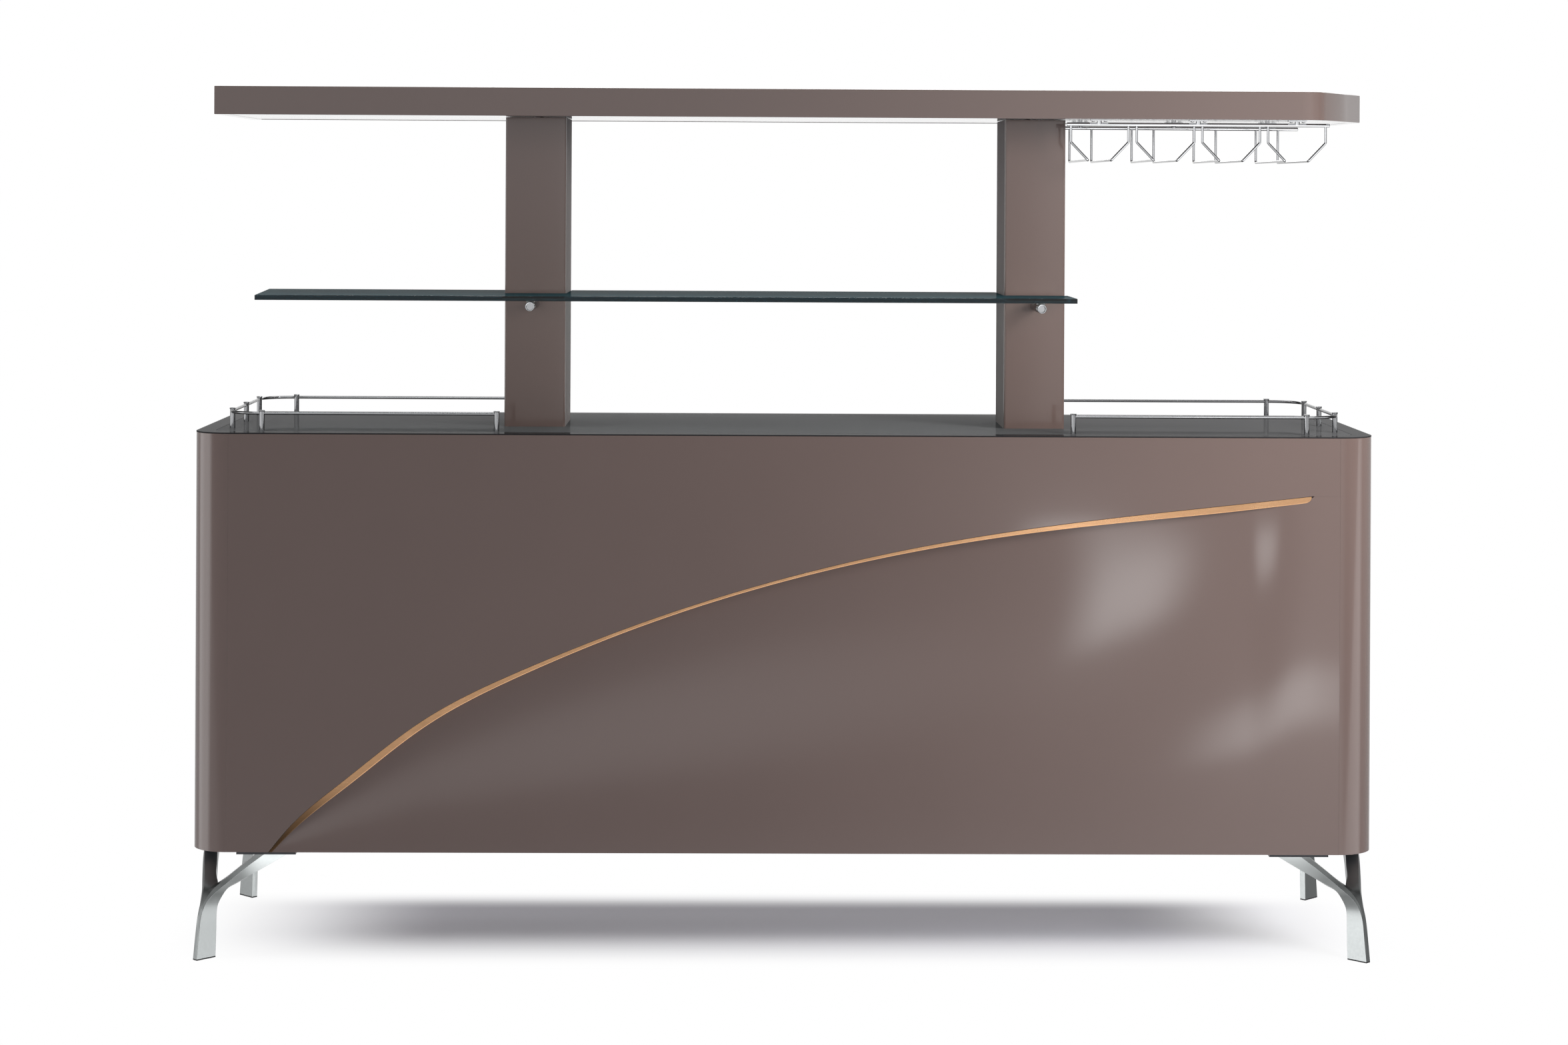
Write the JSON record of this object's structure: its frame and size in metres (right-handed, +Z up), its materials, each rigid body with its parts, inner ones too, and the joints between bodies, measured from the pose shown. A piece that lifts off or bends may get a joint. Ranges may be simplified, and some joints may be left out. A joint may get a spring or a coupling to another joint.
{
  "type": "bar sideboard",
  "caption": "Bar sideboard with a scooped gloss taupe front, copper trim, canopy on two uprights, glass shelf, gallery rails, stemware rack and sculpted metal legs",
  "frame": {"origin": "middle of the overall box in plan, on the floor", "axes": "+X to the right seen from the customer's side, -Y towards the customer, +Y towards the working side with the doors, +Z up"},
  "size_m": [1.915, 0.5, 1.401],
  "materials": {
    "taupe_lacquer": "high gloss taupe lacquer on board",
    "carcass_board": "satin dark taupe board",
    "copper": "polished copper-coloured metal",
    "dark_glass": "grey back-painted glass, polished",
    "dark_border": "dark gloss border",
    "clear_glass": "clear glass with teal edges",
    "chrome": "bright chrome",
    "leg_metal": "satin cast aluminium",
    "dark_metal": "dark satin paint",
    "steel": "zinc-plated steel",
    "bush_brass": "turned brass",
    "clear_pad": "translucent soft pad",
    "black_plastic": "black moulded plastic"
  },
  "bodies": {
    "cabinet": {"bottom_panel": "carcass_board", "top_panel": "carcass_board", "left_side_shell": "taupe_lacquer", "right_side_shell": "taupe_lacquer", "front_upper_panel": "taupe_lacquer", "front_scoop_panel": "taupe_lacquer", "front_trim": "copper", "left_partition": "carcass_board", "right_partition": "carcass_board", "drawer_divider": "carcass_board", "left_bay_shelf": "carcass_board", "right_bay_shelf": "carcass_board", "shelf_pins": "steel", "countertop_frame": "dark_border", "countertop_glass": "dark_glass", "left_upright": "taupe_lacquer", "right_upright": "taupe_lacquer", "upright_tie_rods": "steel", "tie_rod_nuts": "steel", "canopy_shell": "taupe_lacquer", "canopy_underside": "taupe_lacquer", "glass_shelf": "clear_glass", "left_shelf_support": "chrome", "right_shelf_support": "chrome", "shelf_pads": "clear_pad", "left_gallery_rod": "chrome", "right_gallery_rod": "chrome", "gallery_posts": "chrome", "rack_bars": "chrome", "rack_channel_1": "chrome", "rack_channel_2": "chrome", "rack_channel_3": "chrome", "rack_channel_4": "chrome", "rack_screws": "steel", "front_left_leg": "leg_metal", "front_right_leg": "leg_metal", "rear_left_leg": "leg_metal", "rear_right_leg": "leg_metal", "leg_mounting_plates": "dark_metal", "leg_screws": "steel", "foot_glides": "black_plastic", "door_pivot_pins": "steel", "pivot_washers": "black_plastic", "magnet_catches": "black_plastic", "drawer_outer_runners": "steel"},
    "left_door": {"left_door": "taupe_lacquer", "left_door_pull": "dark_metal", "left_door_bushes": "bush_brass", "left_strike_plate": "steel"},
    "right_door": {"right_door": "taupe_lacquer", "right_door_pull": "dark_metal", "right_door_bushes": "bush_brass", "right_strike_plate": "steel"},
    "drawer": {"drawer_front": "taupe_lacquer", "drawer_box": "carcass_board", "drawer_bottom": "carcass_board", "drawer_pull": "dark_metal", "drawer_inner_runners": "steel"}
  },
  "joints": [
    {"name": "left_door_hinge", "type": "hinge", "parent": "cabinet", "child": "left_door", "pos_m": [-0.8865, 0.239, 0.509], "axis": [0, 0, 1], "range_deg": [0, 95]},
    {"name": "right_door_hinge", "type": "hinge", "parent": "cabinet", "child": "right_door", "pos_m": [0.8715, 0.239, 0.509], "axis": [0, 0, -1], "range_deg": [0, 95]},
    {"name": "drawer_slide", "type": "slide", "parent": "cabinet", "child": "drawer", "axis": [0, 1, 0], "range_m": [0, 0.3]}
  ]
}
